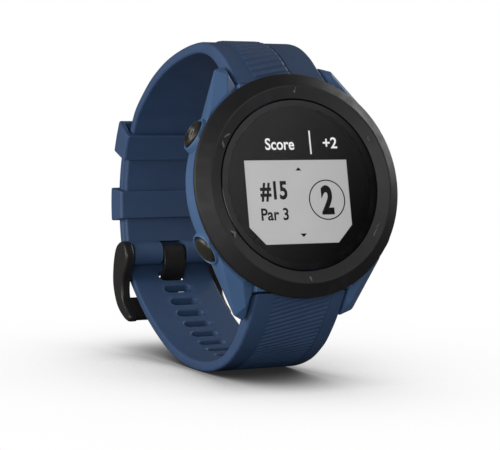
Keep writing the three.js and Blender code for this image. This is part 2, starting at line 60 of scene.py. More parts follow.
# ---------------------------------------------------------------- driving dimensions
CASE_R = 21.4
CASE_FRONT_Y = -10.55
CASE_BACK_Y = -1.6
CAVITY_R = 17.4
CAVITY_FRONT_Y = -9.4
BACK_SEAT_R = 18.4
BACK_LEDGE_Y = -3.6
LENS_SEAT_R = 15.9
LUG_GAP_HALF = 10.4
LUG_ROUND = 0.28
STRAP_SEAT_Z = 20.0
STRAP_SEAT_HALF = 4.0
WALL_Z = 18.5

BEZEL_R = 21.85
BEZEL_FRONT_Y = -13.3
BEZEL_SLOPE = math.atan2(0.95, 2.15)
RING_MID_R = 18.02
LENS_R = 16.65
LENS_CLEAR_R = 15.3
LENS_FRONT_Y = -12.3
LENS_BACK_Y = -11.2
DISPLAY_R = 15.4
DISPLAY_FRONT_Y = -11.05
DISPLAY_BACK_Y = -9.85
AREA_THICK = 0.03
INK_THICK = 0.02
TEXT_MERGE_GAP = 0.0001

TICK_HALF_WIDTH = 0.17
TICK_HALF_LENGTH = 0.72
TICK_Y = -12.89
ICON_Y = -12.86

BUTTON_Y = -7.4
BUTTON_R = 2.65
BUTTON_STEM_R = 0.9
BUTTON_FACE = 23.0
BUTTON_CLEAR = 0.2
BOSS_R = 3.15
BUTTON_ANGLES = {"upper_right": 29, "upper_left": 151, "lower_left": 211, "lower_right": 329}

SCREW_ANGLES = [62, 118, 242, 298]
SCREW_RING_R = 15.6
SCREW_BOSS_R = 2.2
SCREW_HOLE_R = 0.75
PORT_Z = -11.6
CONTACT_XS = (-2.25, -0.75, 0.75, 2.25)
CONTACT_R = 0.38
CONTACT_HOLE_R = 0.5

BAR_Y = -4.4
BAR_Z = 22.2
BAR_HOLE_R = 0.6
BAR_HOLE_HALF = 12.4
BAR_TUNNEL_R = 1.0
LEVER_X = 6.4

STRAP_HALF = 9.75
STRAP_THICK = 2.1
STRAP_EDGE = 0.55
STRAP_START_ROUND = 0.5
STRAP_TIP_ROUND = 0.55
STRAIGHT_START = 8.0
RIDGE_STEP_ALONG = 0.14
RIDGE_STEP_ACROSS = 0.17
PLAIN_STEP = 0.55
MERGE_GAP = 0.004
REAR_CENTRE = (26.0, 1.0)
REAR_INNER_R = 30.0
LAYER_GAP = 0.2
TAIL_INNER_R = REAR_INNER_R + STRAP_THICK + LAYER_GAP
TAIL_END_DEG = 40

PIN_Y = 54.2
PIN_Z = -4.7
ROLL_R = 2.6
PIN_R = 0.75
PIN_HALF = 11.6
PIN_HOLE_R = 0.95
EYE_R = 2.0
PRONG_WIDTH = 5.2
PRONG_THICK = 0.9
ARM_IN = 10.3
ARM_OUT = 12.5

SLOT_COUNT = 10
SLOT_PITCH = 4.5
PRONG_SLOT_FROM_TAIL = 37.0
SLOT_HALF_WIDTH = 3.2
SLOT_HALF_LENGTH = 1.15
SLOT_TAPER = 0.48
SLOT_FLARE = 0.38
PRONG_SLOT_HALF_LENGTH = 1.55

KEEPER_HALF_DEG = 6.1
KEEPER_WALL = 0.9
KEEPER_OUT_HALF = 11.3
KEEPER_EDGE = 0.3
FREE_KEEPER_DEG = 37.1
FIXED_KEEPER_DEG = 10.8


# ---------------------------------------------------------------- meshes
def show(name, data):
    """An object for a mesh, camera or light, linked to the scene."""
    obj = bpy.data.objects.new(name, data)
    bpy.context.scene.collection.objects.link(obj)
    return obj


def new_mesh(name, points, faces):
    """A mesh from points in millimetres."""
    mesh = bpy.data.meshes.new(name)
    mesh.from_pydata([tuple(c * MM for c in p) for p in points], [], faces)
    return mesh


def make_object(name, points, faces):
    """An object with a closed mesh, from points in millimetres."""
    mesh = new_mesh(name, points, faces)
    mesh.validate()
    return turn_out(show(name, mesh))


def turn_out(obj, merge=0.0):
    """Merges points closer than merge millimetres and points every face of a closed mesh outwards."""
    work = bmesh.new()
    work.from_mesh(obj.data)
    if merge:
        bmesh.ops.remove_doubles(work, verts=work.verts, dist=merge * MM)
    bmesh.ops.recalc_face_normals(work, faces=work.faces)
    work.to_mesh(obj.data)
    work.free()
    return obj


def ring_faces(count, low, high):
    """The quads between two rings of points, whose first points are numbered low and high."""
    return [(low + k, low + (k + 1) % count, high + (k + 1) % count, high + k) for k in range(count)]


def loft(name, layers):
    """A closed solid through a stack of outlines that have the same number of points."""
    rows, count = len(layers), len(layers[0])
    faces = [tuple(range(count)), tuple(range((rows - 1) * count, rows * count))]
    for i in range(rows - 1):
        faces += ring_faces(count, i * count, (i + 1) * count)
    return make_object(name, [point for layer in layers for point in layer], faces)


def soften(obj, angle=32, weighted=True):
    """Smooth shading that stays crisp across edges sharper than the angle."""
    obj.data.shade_smooth()
    obj.data.set_sharp_from_angle(angle=math.radians(angle))
    if weighted:
        modifier = obj.modifiers.new("weighted", "WEIGHTED_NORMAL")
        modifier.keep_sharp = True
        modifier.weight = 60
    return obj


def bake_modifiers(obj):
    """Replaces the object's mesh by what its modifiers make."""
    graph = bpy.context.evaluated_depsgraph_get()
    mesh = bpy.data.meshes.new_from_object(obj.evaluated_get(graph))
    obj.modifiers.clear()
    old = obj.data
    obj.data = mesh
    mesh.name = obj.name
    bpy.data.meshes.remove(old)


def combine(obj, tools, operation="DIFFERENCE"):
    """Cuts the tools from obj, or joins them to it, and removes them."""
    for tool in tools:
        modifier = obj.modifiers.new("combine", "BOOLEAN")
        modifier.operation = operation
        modifier.solver = "MANIFOLD"
        modifier.object = tool
    bpy.context.view_layer.update()
    bake_modifiers(obj)
    for tool in tools:
        bpy.data.objects.remove(tool)
    return obj


def join_meshes(name, objects):
    """One object that holds the given separate shells."""
    work = bmesh.new()
    for obj in objects:
        obj.data.transform(obj.matrix_world)
        work.from_mesh(obj.data)
        bpy.data.objects.remove(obj)
    mesh = bpy.data.meshes.new(name)
    work.to_mesh(mesh)
    work.free()
    return show(name, mesh)


def place(obj, matrix):
    """Moves the mesh itself, so that the object stays at the origin. The matrix is in millimetres."""
    moved = matrix.copy()
    moved.translation = moved.translation * MM
    obj.data.transform(moved)
    return obj


def fillet(points, radii, steps=5):
    """The corners of a closed 2-D outline rounded, with one radius for each corner."""
    points = [Vector(p) for p in points]
    result = []
    for i, (corner, radius) in enumerate(zip(points, radii)):
        if radius <= 0:
            result.append(tuple(corner))
            continue
        back = (points[i - 1] - corner).normalized()
        ahead = (points[(i + 1) % len(points)] - corner).normalized()
        half = back.angle(ahead) / 2
        if half > NEARLY_STRAIGHT:
            result.append(tuple(corner))
            continue
        reach = radius / math.tan(half)
        centre = corner + (back + ahead).normalized() * (radius / math.sin(half))
        first = corner + back * reach - centre
        last = corner + ahead * reach - centre
        sweep = first.angle_signed(last)
        for k in range(steps + 1):
            turned = first.copy()
            turned.rotate(Matrix.Rotation(-sweep * k / steps, 2))
            result.append(tuple(centre + turned))
    return result


def lathe(name, profile, segments=144):
    """A closed profile of (radius, y) turned about the Y axis. Points on the axis become one vertex."""
    points, rings = [], []
    for radius, y in profile:
        if radius < AXIS_R:
            rings.append([len(points)] * segments)
            points.append((0.0, y, 0.0))
            continue
        rings.append(list(range(len(points), len(points) + segments)))
        for k in range(segments):
            turn = 2 * math.pi * k / segments
            points.append((radius * math.cos(turn), y, radius * math.sin(turn)))
    faces = []
    on_axis = profile[0][0] < AXIS_R and profile[-1][0] < AXIS_R
    for i in range(len(rings) - 1 if on_axis else len(rings)):
        a, b = rings[i], rings[(i + 1) % len(rings)]
        for k in range(segments):
            n = (k + 1) % segments
            quad = list(dict.fromkeys((a[k], a[n], b[n], b[k])))
            if len(quad) > 2:
                faces.append(quad)
    return make_object(name, points, faces)


def inset(outline, amount):
    """A 2-D outline moved inwards by an amount at every edge."""
    pts = np.array(outline, float)
    ahead = np.roll(pts, -1, 0) - pts
    ahead /= np.linalg.norm(ahead, axis=1)[:, None]
    back = np.roll(ahead, 1, 0)
    area = 0.5 * np.sum(pts[:, 0] * np.roll(pts[:, 1], -1) - np.roll(pts[:, 0], -1) * pts[:, 1])
    turn = 1.0 if area > 0 else -1.0
    normals = np.stack([-(ahead + back)[:, 1], (ahead + back)[:, 0]], 1) * turn
    normals /= np.linalg.norm(normals, axis=1)[:, None]
    cosine = np.clip(np.sum(normals * np.stack([-ahead[:, 1], ahead[:, 0]], 1) * turn, axis=1), 0.5, 1)
    return pts + normals * (amount / cosine)[:, None]


def rounded_edge(radius, steps):
    """A quarter round as pairs: the depth from the end face, and how far the outline is drawn in there."""
    turns = [math.pi / 2 * k / steps for k in range(steps + 1)]
    return [(radius * (1 - math.cos(t)), radius * (1 - math.sin(t))) for t in turns]


def prism(name, outline, low, high, axis="x", edge=0.3, steps=4):
    """A 2-D outline extruded between two levels, with rounded rims.

    axis x: the outline is (y, z). axis y: it is (x, z)."""
    rim = rounded_edge(edge, steps)
    levels = [(low + depth, shift) for depth, shift in rim]
    levels += [(high - depth, shift) for depth, shift in reversed(rim)]
    layers = []
    for level, shift in levels:
        flat = inset(outline, shift)
        layers.append([(level, a, b) if axis == "x" else (a, level, b) for a, b in flat])
    return loft(name, layers)


def rounded_rect(half_a, half_b, corner, centre=(0.0, 0.0), steps=6):
    """The outline of a rounded rectangle."""
    outline = []
    for quarter, (sa, sb) in enumerate([(1, 1), (-1, 1), (-1, -1), (1, -1)]):
        for k in range(steps + 1):
            turn = math.pi / 2 * (quarter + k / steps)
            outline.append((centre[0] + sa * (half_a - corner) + corner * math.cos(turn),
                            centre[1] + sb * (half_b - corner) + corner * math.sin(turn)))
    return outline


def circle(radius, centre=(0.0, 0.0), steps=48):
    """The outline of a circle."""
    return [(centre[0] + radius * math.cos(2 * math.pi * k / steps),
             centre[1] + radius * math.sin(2 * math.pi * k / steps)) for k in range(steps)]


def screw_spots():
    """The places of the case screws, as matrices."""
    turns = [math.radians(angle) for angle in SCREW_ANGLES]
    return [Matrix.Translation((SCREW_RING_R * math.cos(t), 0, SCREW_RING_R * math.sin(t))) for t in turns]


# ---------------------------------------------------------------- materials
def linear(colour):
    """A colour of 0 to 255 display values as linear light."""
    values = [c / 255 for c in colour]
    return tuple(v / 12.92 if v <= 0.04045 else ((v + 0.055) / 1.055) ** 2.4 for v in values) + (1.0,)


def scaled(colour, factor, lift=0.0):
    """A linear colour made lighter or darker."""
    return tuple(min(1.0, c * factor + lift) for c in colour[:3]) + (1.0,)


class Tree:
    """The node tree of a material or world, with short calls for the nodes that repeat."""

    def __init__(self, owner, bare=False):
        owner.use_nodes = True
        self.nodes, self.links = owner.node_tree.nodes, owner.node_tree.links
        if bare:
            self.nodes.remove(self.nodes["Principled BSDF"])

    def add(self, kind, **settings):
        node = self.nodes.new("ShaderNode" + kind)
        for key, value in settings.items():
            setattr(node, key, value)
        return node

    def put(self, socket, value):
        """Links an output to the socket, or sets the socket's own value."""
        if isinstance(value, bpy.types.NodeSocket):
            self.links.new(value, socket)
        else:
            socket.default_value = value

    def where(self):
        return self.add("TexCoord").outputs["Object"]

    def noise(self, scale, detail, stretch=None):
        node = self.add("TexNoise")
        self.put(node.inputs["Scale"], scale)
        self.put(node.inputs["Detail"], detail)
        place = self.where()
        if stretch:
            mapping = self.add("Mapping")
            self.put(mapping.inputs["Scale"], stretch)
            self.put(mapping.inputs["Vector"], place)
            place = mapping.outputs["Vector"]
        self.put(node.inputs["Vector"], place)
        return node.outputs["Fac"]

    def ramp(self, source, start, end, low=0.0, high=1.0, smooth=False):
        """Runs from start to end while the source runs from low to high."""
        node = self.add("MapRange", interpolation_type="SMOOTHSTEP" if smooth else "LINEAR")
        for key, value in (("From Min", low), ("From Max", high), ("To Min", start), ("To Max", end)):
            self.put(node.inputs[key], value)
        self.put(node.inputs["Value"], source)
        return node.outputs["Result"]

    def math(self, operation, first, second):
        node = self.add("Math", operation=operation)
        self.put(node.inputs[0], first)
        self.put(node.inputs[1], second)
        return node.outputs["Value"]

    def vector(self, operation, first, second, output):
        node = self.add("VectorMath", operation=operation)
        self.put(node.inputs[0], first)
        self.put(node.inputs[1], second)
        return node.outputs[output]

    def mix(self, factor, first, second, kind="RGBA"):
        node = self.add("Mix", data_type=kind)
        self.put(node.inputs["Factor"], factor)
        self.put(node.inputs["A"], first)
        self.put(node.inputs["B"], second)
        return node.outputs["Result"]

    def bump(self, height, strength, distance):
        node = self.add("Bump")
        self.put(node.inputs["Strength"], strength)
        self.put(node.inputs["Distance"], distance)
        self.put(node.inputs["Height"], height)
        return node.outputs["Normal"]

    def glow(self, strength):
        """Ends a bare material in white light of this strength."""
        node = self.add("Emission")
        self.put(node.inputs["Strength"], strength)
        self.put(self.nodes["Material Output"].inputs["Surface"], node.outputs["Emission"])


def surface(name, colour, rough, metal=0.0, grain=(2600, 0.06), mottle=0.10, edge_wear_and_highlight=0.25, specular=0.5,
            streaks=None):
    """A moulded, rubber or metal surface: mottled colour, uneven gloss, fine grain and paler edges, partly
    wear and partly a painted highlight.
    """
    material = bpy.data.materials.new(name)
    tree = Tree(material)
    inputs = tree.nodes["Principled BSDF"].inputs
    tree.put(inputs["Metallic"], metal)
    tree.put(inputs["Specular IOR Level"], specular)

    base = linear(colour)
    blotch = tree.ramp(tree.noise(160, 4.0), 0.0, 1.0, 0.3, 0.7)
    mottled = tree.mix(blotch, scaled(base, 1 - mottle), scaled(base, 1 + mottle))
    # Paler convex edges: partly wear, partly a painted edge highlight.
    ridge = tree.ramp(tree.add("NewGeometry").outputs["Pointiness"], 0.0, edge_wear_and_highlight, 0.51, 0.60)
    patchy = tree.ramp(tree.noise(700, 2.0), 0.3, 1.0, 0.35, 0.65)
    worn_and_highlit_edges = tree.math("MULTIPLY", ridge, patchy)
    tree.put(inputs["Base Color"], tree.mix(worn_and_highlit_edges, mottled, scaled(base, 1.5, 0.015)))

    gloss = tree.ramp(tree.noise(420, 5.0), rough - 0.06, rough + 0.06, 0.3, 0.7)
    tree.put(inputs["Roughness"], gloss)
    scale, strength = grain
    tree.put(inputs["Normal"], tree.bump(tree.noise(scale, 3.0, streaks), strength, 0.00008))
    return material


def glass():
    """Clear cover glass: see-through with a soft sheen that grows at grazing angles, unevenly smudged."""
    material = bpy.data.materials.new("cover_glass")
    tree = Tree(material, bare=True)
    smudge = tree.noise(90, 2.0)
    sheen = tree.add("BsdfGlossy")
    tree.put(sheen.inputs["Roughness"], tree.ramp(smudge, 0.10, 0.16, 0.3, 0.7))
    tree.put(sheen.inputs["Normal"], tree.bump(smudge, 0.01, 0.00002))
    fresnel = tree.add("Fresnel")
    tree.put(fresnel.inputs["IOR"], 1.5)
    outside = tree.math("SUBTRACT", 1.0, tree.add("NewGeometry").outputs["Backfacing"])
    mix = tree.add("MixShader")
    tree.put(mix.inputs["Fac"], tree.math("MULTIPLY", fresnel.outputs["Fac"], outside))
    tree.put(mix.inputs[1], tree.add("BsdfTransparent").outputs["BSDF"])
    tree.put(mix.inputs[2], sheen.outputs["BSDF"])
    tree.put(tree.nodes["Material Output"].inputs["Surface"], mix.outputs["Shader"])
    return material


def screen(name, colour, glow, grid):
    """A display surface whose glow paints the light that would reach it through the lens, with faint rows of
    pixels.
    """
    material = surface(name, colour, 0.7, mottle=0.04, edge_wear_and_highlight=0.0, grain=(3000, 0.02), specular=0.05)
    tree = Tree(material)
    inputs = tree.nodes["Principled BSDF"].inputs
    # Painted light: the display's glow stands in for the lamps' light falling on it through the glass.
    tree.put(inputs["Emission Strength"], glow)
    rows = tree.add("TexWave", bands_direction="Z")
    tree.put(rows.inputs["Scale"], 900)
    tree.put(rows.inputs["Vector"], tree.where())
    base = linear(colour)
    tree.put(inputs["Emission Color"], tree.mix(rows.outputs["Fac"], base, scaled(base, 1 - grid)))
    return material


polymer = surface("moulded_polymer", (60, 88, 124), 0.46, grain=(5200, 0.10), mottle=0.05, edge_wear_and_highlight=0.30,
                  specular=0.4)
silicone = surface("silicone", (47, 69, 101), 0.55, grain=(4200, 0.14), mottle=0.06, edge_wear_and_highlight=0.30,
                   specular=0.35)
black_polymer = surface("black_polymer", (25, 24, 24), 0.54, grain=(5200, 0.08), mottle=0.06, edge_wear_and_highlight=0.25,
                        specular=0.35)
ring_polymer = surface("bezel_ring_polymer", (44, 44, 44), 0.50, grain=(5200, 0.05), mottle=0.04, edge_wear_and_highlight=0.2,
                       specular=0.4)
back_polymer = surface("back_polymer", (33, 33, 34), 0.50, grain=(3600, 0.18), mottle=0.07, edge_wear_and_highlight=0.3)
black_metal = surface("black_coated_metal", (34, 32, 31), 0.40, metal=0.3, grain=(6200, 0.08), mottle=0.08,
                      edge_wear_and_highlight=0.35)
gunmetal = surface("button_gunmetal", (60, 57, 50), 0.34, metal=0.6, grain=(5200, 0.06), mottle=0.08,
                   edge_wear_and_highlight=0.4)
steel = surface("steel", (176, 177, 180), 0.28, metal=1.0, grain=(3800, 0.05), mottle=0.05, edge_wear_and_highlight=0.3,
                streaks=(0.06, 1, 1))
gold = surface("contact_gold", (214, 172, 92), 0.25, metal=1.0, grain=(4200, 0.04), mottle=0.05, edge_wear_and_highlight=0.2)
rubber = surface("black_rubber", (24, 24, 24), 0.75, grain=(3000, 0.2), mottle=0.08, edge_wear_and_highlight=0.2)
board = surface("circuit_board", (28, 84, 56), 0.4, grain=(1500, 0.3), mottle=0.3, edge_wear_and_highlight=0.1)
ceramic = surface("ceramic", (208, 200, 178), 0.5, grain=(2400, 0.1), mottle=0.05, edge_wear_and_highlight=0.1)
foil = surface("battery_foil", (150, 156, 162), 0.32, metal=0.8, grain=(900, 0.2), mottle=0.06, edge_wear_and_highlight=0.3)
white_plastic = surface("white_plastic", (222, 222, 218), 0.45, grain=(2600, 0.08), mottle=0.03, edge_wear_and_highlight=0.1)
lens_glass = glass()
border_glass = surface("printed_border_glass", (10, 10, 10), 0.14, mottle=0.04, edge_wear_and_highlight=0.0, grain=(90, 0.01))
panel_black = surface("display_surround", (8, 8, 8), 0.8, mottle=0.05, edge_wear_and_highlight=0.0, grain=(3000, 0.02),
                      specular=0.03)
# The grey area and the white text glow with painted light.
panel_grey = screen("display_grey", (176, 176, 176), 0.42, grid=0.05)
panel_white = screen("display_white", (214, 214, 214), 0.6, grid=0.03)
panel_ink = surface("display_ink", (10, 10, 10), 0.8, mottle=0.04, edge_wear_and_highlight=0.0, grain=(3000, 0.02),
                    specular=0.03)
icon_polymer = surface("raised_icon_polymer", (80, 80, 79), 0.5, grain=(4200, 0.05), mottle=0.05, edge_wear_and_highlight=0.3)
icon_paint = surface("icon_paint", (128, 127, 124), 0.5, grain=(4200, 0.05), mottle=0.05, edge_wear_and_highlight=0.1)


def dress(obj, material, body="watch_case", stands_for=(), angle=32, weighted=True):
    """Gives a finished piece its shading, material and body."""
    soften(obj, angle, weighted)
    obj.data.materials.clear()
    obj.data.materials.append(material)
    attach(obj, body)
    if stands_for:
        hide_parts(*stands_for)
    return obj


# ---------------------------------------------------------------- case
def ring_lug(side_x, side_z):
    """One lug: a faceted block with rounded edges."""
    inner = LUG_GAP_HALF
    corners = [
        (inner, -10.4, 15.5), (inner, -9.0, 19.5), (inner, -5.0, 24.0), (inner, -3.4, 25.0),
        (inner, -1.9, 23.6), (inner, -1.9, 15.5), (11.4, -7.5, 22.6), (13.0, -10.4, 18.3),
        (17.0, -10.4, 14.5), (18.9, -9.6, 10.0), (17.6, -2.6, 9.0), (12.8, -4.8, 24.0),
        (11.8, -2.2, 23.7), (15.4, -2.2, 13.5),
    ]
    work = bmesh.new()
    for x, y, z in corners:
        work.verts.new((x * side_x * MM, y * MM, z * side_z * MM))
    bmesh.ops.convex_hull(work, input=work.verts)
    bmesh.ops.dissolve_limit(work, angle_limit=math.radians(3), verts=work.verts, edges=work.edges)
    bmesh.ops.bevel(work, geom=work.edges[:], offset=LUG_ROUND * MM, segments=4, profile=0.5, affect="EDGES",
                    clamp_overlap=True)
    bmesh.ops.recalc_face_normals(work, faces=work.faces)
    mesh = bpy.data.meshes.new("lug")
    work.to_mesh(mesh)
    work.free()
    return show("lug", mesh)


def button_matrix(degrees):
    """Local +Y runs out along the button's axis and local +Z along the frame's +Y."""
    c, s = math.cos(math.radians(degrees)), math.sin(math.radians(degrees))
    return Matrix(((-s, c, 0, 0), (0, 0, 1, BUTTON_Y), (c, s, 0, 0), (0, 0, 0, 1)))


def drum(name, radius, low, high, segments):
    """A plain round solid about the Y axis."""
    return lathe(name, [(0, low), (radius, low), (radius, high), (0, high)], segments)


def button_collar(angle):
    """The tapered collar that the case has around a button, cut off behind the bezel."""
    top = BUTTON_FACE - 0.7
    profile = [(0, 18.2), (BOSS_R + 1.6, 18.2), (BOSS_R + 0.1, top), (0, top)]
    collar = place(lathe("collar", fillet(profile, [0, 0, 0.25, 0], 4), 72), button_matrix(angle))
    return combine(collar, [drum("front", 26, -20, CASE_FRONT_Y, 96)])


def button_bore(angle):
    """The stepped bore for a button: stem, seal groove, head and a flared mouth."""
    stem, head = BUTTON_STEM_R + BUTTON_CLEAR, BUTTON_R + BUTTON_CLEAR
    profile = fillet([
        (0, 14), (stem, 14), (stem, 18), (1.6, 18), (1.6, 19), (stem, 19), (stem, 19.6), (head, 19.6),
        (head, 22.1), (head + 0.4, 22.6), (head + 0.4, 25), (0, 25),
    ], [0, 0, 0, 0, 0, 0, 0, 0.1, 0.1, 0, 0, 0])
    return place(lathe("bore", profile, 72), button_matrix(angle))


def strap_openings(side):
    """The gap between two lugs for a strap's end, and the spring bar's holes."""
    seat = rounded_rect(LUG_GAP_HALF, STRAP_SEAT_HALF, 0.3, (0, side * (STRAP_SEAT_Z + STRAP_SEAT_HALF)), 3)
    hole = drum("bar_hole", BAR_HOLE_R, -BAR_HOLE_HALF, BAR_HOLE_HALF, 28)
    spot = Matrix.Translation((0, BAR_Y, side * BAR_Z)) @ Matrix.Rotation(-math.pi / 2, 4, "Z")
    return [prism("seat", seat, -9.3, 2.0, "y", 0.1, 2), place(hole, spot)]


def case_body():
    outer = fillet([
        (CASE_R, CASE_FRONT_Y), (CASE_R, -6.1), (20.0, -3.4), (19.4, CASE_BACK_Y),
        (BACK_SEAT_R, CASE_BACK_Y), (BACK_SEAT_R, BACK_LEDGE_Y), (CAVITY_R, BACK_LEDGE_Y),
        (CAVITY_R, CAVITY_FRONT_Y), (LENS_SEAT_R, CAVITY_FRONT_Y), (LENS_SEAT_R, CASE_FRONT_Y),
    ], [0.25, 1.6, 1.2, 0.3, 0.12, 0, 0.1, 0, 0.1, 0.1])
    ring = lathe("case_body_shell", outer, 180)
    shell = [ring_lug(sx, sz) for sx in (1, -1) for sz in (1, -1)]
    for side in (1, -1):
        middle = (0, side * (STRAP_SEAT_Z + WALL_Z) / 2)
        wall = rounded_rect(LUG_GAP_HALF, (STRAP_SEAT_Z - WALL_Z) / 2, 0.1, middle, 1)
        shell.append(prism("wall", wall, -10.3, -2.2, "y", 0.1, 1))
    shell += [button_collar(angle) for angle in BUTTON_ANGLES.values()]
    combine(ring, shell, "UNION")
    combine(ring, [drum("cavity", CAVITY_R, CAVITY_FRONT_Y, BACK_LEDGE_Y, 180)])
    bosses = [place(drum("boss", SCREW_BOSS_R, CAVITY_FRONT_Y - 0.2, BACK_LEDGE_Y, 32), spot)
              for spot in screw_spots()]
    combine(ring, bosses, "UNION")
    cutters = [place(drum("hole", SCREW_HOLE_R, -8.4, -2, 24), spot) for spot in screw_spots()]
    cutters += strap_openings(1) + strap_openings(-1)
    cutters += [button_bore(angle) for angle in BUTTON_ANGLES.values()]
    combine(ring, cutters)
    dress(ring, polymer, stands_for=["case_body"], angle=28)


# ---------------------------------------------------------------- bezel
def bezel():
    """The black ring with a grey inner slope and a painted tick engraved at 12 and at 6 o'clock."""
    profile = fillet([
        (16.8, -10.65), (21.6, -10.65), (BEZEL_R, -10.9), (BEZEL_R, -11.4), (21.7, -11.65),
        (19.25, BEZEL_FRONT_Y), (18.95, BEZEL_FRONT_Y), (16.8, -12.35),
    ], [0.05, 0.1, 0.12, 0.15, 0.25, 0.18, 0.16, 0.12], 4)
    ring = lathe("bezel_ring", profile, 216)
    ticks = []
    for side in (1, -1):
        outline = rounded_rect(TICK_HALF_WIDTH, TICK_HALF_LENGTH, 0.1, steps=4)
        lean = Matrix.Rotation(-side * BEZEL_SLOPE, 4, "X")
        spot = Matrix.Translation((0, TICK_Y, side * RING_MID_R)) @ lean
        ticks.append(place(prism("tick", outline, -1.0, 0.12, "y", 0.03, 1), spot))
    combine(ring, ticks)
    dress(ring, black_polymer, stands_for=["bezel"], angle=24)
    ring.data.materials.append(ring_polymer)
    ring.data.materials.append(icon_paint)
    margin = 0.03
    for face in ring.data.polygons:
        x, y, z = face.center / MM
        if math.hypot(x, z) < 19.1 and y < -12.3:
            beside, along = abs(x), abs(abs(z) - RING_MID_R)
            in_tick = beside < TICK_HALF_WIDTH + margin and along < TICK_HALF_LENGTH + margin
            face.material_index = 2 if in_tick else 1
    for place_name, angle in BUTTON_ANGLES.items():
        bezel_icon(place_name, angle)


def bezel_icon(place_name, angle):
    """A raised generic symbol on the bezel's inner slope, beside its button."""
    chevron = [(-1.6, -0.55), (-1.3, -0.75), (0, 0.2), (1.3, -0.75), (1.6, -0.55), (0, 0.72)]
    shapes = {
        "upper_left": [chevron],
        "lower_left": [[(a, -b) for a, b in chevron]],
        "upper_right": [circle(0.72, steps=40)],
        "lower_right": [[(-1.5, 0), (-0.3, -0.72), (-0.3, 0.72)],
                        rounded_rect(0.85, 0.25, 0.05, (0.6, 0), 2)],
    }
    pieces = [prism("icon", outline, -0.1, 0.1, "y", 0.04, 2) for outline in shapes[place_name]]
    icon = turn_out(join_meshes("bezel_icon_" + place_name, pieces))
    across = Matrix.Rotation(math.radians(90 - angle), 4, "Y")
    lean = Matrix.Rotation(-BEZEL_SLOPE, 4, "X")
    place(icon, across @ Matrix.Translation((0, ICON_Y, RING_MID_R)) @ lean)
    dress(icon, icon_polymer)


def decal(name, outline, level, thick):
    """A thin raised outline in the X-Z plane, with its front this thick before the level."""
    return prism(name, outline, level - thick, level, "y", thick * 0.4, 2)


# ---------------------------------------------------------------- lens and display
def cover_lens():
    """The clear lens with its printed black border."""
    lens = lathe("cover_lens", fillet([
        (0, LENS_BACK_Y), (LENS_CLEAR_R, LENS_BACK_Y), (LENS_R, LENS_BACK_Y), (LENS_R, LENS_FRONT_Y),
        (LENS_CLEAR_R, LENS_FRONT_Y), (0, LENS_FRONT_Y),
    ], [0, 0, 0.08, 0.22, 0, 0], 4), 180)
    dress(lens, lens_glass, stands_for=["lens"])
    lens.data.materials.append(border_glass)
    for polygon in lens.data.polygons:
        x, _, z = polygon.center / MM
        if math.hypot(x, z) > LENS_CLEAR_R:
            polygon.material_index = 1


def display_panel():
    """The black panel behind the lens."""
    panel = lathe("display_glass", fillet([
        (0, DISPLAY_BACK_Y), (DISPLAY_R, DISPLAY_BACK_Y), (DISPLAY_R, DISPLAY_FRONT_Y), (0, DISPLAY_FRONT_Y),
    ], [0, 0.1, 0.1, 0], 3), 144)
    dress(panel, panel_black, stands_for=["display_panel"])


def score_picture():
    """A generic score: a grey area with dark marks below white text."""
    face, ink = DISPLAY_FRONT_Y, DISPLAY_FRONT_Y - AREA_THICK
    half, top, side_end, bottom_half, bottom = 11.04, 4.95, -7.9, 7.81, -11.3
    area = decal("display_area", [(half, top), (-half, top), (-half, side_end), (-bottom_half, bottom),
                                  (bottom_half, bottom), (half, side_end)], face, AREA_THICK)
    dress(area, panel_grey, weighted=False)
    arrows = [decal("arrow", [(0.35, 3.54), (-0.3, 2.9), (1.0, 2.9)], ink, INK_THICK),
              decal("arrow", [(0.3, -10.05), (-0.4, -9.35), (1.0, -9.35)], ink, INK_THICK)]
    score = (6.05, -2.9)
    hole = prism("hole", circle(3.72, score, 96), ink - 1, ink + 1, "y", 0.01, 1)
    band = combine(decal("band", circle(3.95, score, 96), ink, INK_THICK), [hole])
    words = [text("#15", (-8.2, -3.04), 3.95, 5.75, ink, 0.09, INK_THICK),
             text("Par 3", (-8.35, -6.7), 2.4, 5.8, ink, 0.06, INK_THICK),
             text("2", (4.75, -5.8), 5.75, 2.7, ink, 0.13, INK_THICK)]
    marks = join_meshes("display_marks", [*arrows, band, *words])
    dress(marks, panel_ink, weighted=False)
    bar = decal("bar", [(3.25, 10.75), (3.55, 10.75), (3.6, 6.1), (3.3, 6.1)], face, AREA_THICK)
    white = join_meshes("display_text", [bar, text("Score", (-6.3, 6.95), 2.3, 6.2, face, 0.05, AREA_THICK),
                                         text("+2", (6.2, 7.2), 2.2, 3.1, face, 0.05, AREA_THICK)])
    dress(white, panel_white, weighted=False)


def text(words, corner, height, width, level, bold, thick):
    """Generic numbers and words in the X-Z plane: lower-left corner, capital height and width."""
    curve = bpy.data.curves.new("text", "FONT")
    curve.body = words
    curve.offset = bold * 0.35
    curve.extrude = 0.5
    curve.resolution_u = 6
    obj = show("text", curve)
    bpy.context.view_layer.update()
    mesh = bpy.data.meshes.new_from_object(obj.evaluated_get(bpy.context.evaluated_depsgraph_get()))
    bpy.data.objects.remove(obj)
    flat = np.array([v.co for v in mesh.vertices], float)
    part = (flat - flat.min(0)) / (flat.max(0) - flat.min(0))
    placed = np.stack([corner[0] + part[:, 0] * width, level - thick * part[:, 2],
                       corner[1] + part[:, 1] * height], 1)
    mesh.vertices.foreach_set("co", (placed * MM).astype(np.float32).ravel())
    return turn_out(show("text", mesh), TEXT_MERGE_GAP)


